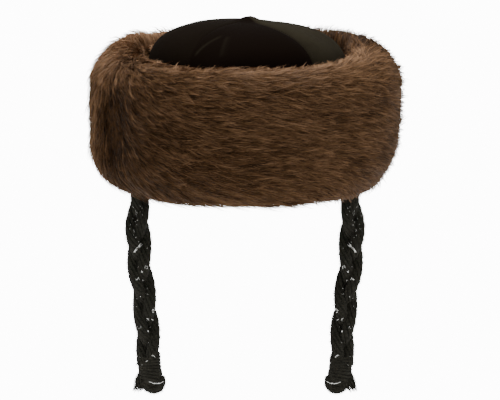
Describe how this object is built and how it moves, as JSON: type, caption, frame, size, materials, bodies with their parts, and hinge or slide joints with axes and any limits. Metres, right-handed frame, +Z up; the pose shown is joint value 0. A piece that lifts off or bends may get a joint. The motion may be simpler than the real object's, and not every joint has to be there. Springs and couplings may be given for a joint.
{
  "type": "shtreimel with plaited side locks",
  "caption": "Wide brown fur hat with a domed black velvet crown, open below for the head, and a black plaited lock hanging at each side.",
  "frame": {"origin": "middle of the head opening, level with the rim of the crown's wall, where the hat sits on a head", "axes": "+Z up through the crown, -Y towards the front, +X to the right as seen from the front"},
  "size_m": [0.2697, 0.2944, 0.3285],
  "materials": {
    "velvet": "black cotton velvet with a soft grazing sheen",
    "fur": "deep brown fur pile, darker at the roots, ginger at the tips",
    "yarn": "matte black fuzzy yarn"
  },
  "bodies": {
    "root": {"crown": "velvet", "fur_band": "fur", "plait_left_strand_1": "yarn", "plait_left_strand_2": "yarn", "plait_left_strand_3": "yarn", "plait_left_end": "yarn", "plait_right_strand_1": "yarn", "plait_right_strand_2": "yarn", "plait_right_strand_3": "yarn", "plait_right_end": "yarn"}
  },
  "joints": []
}
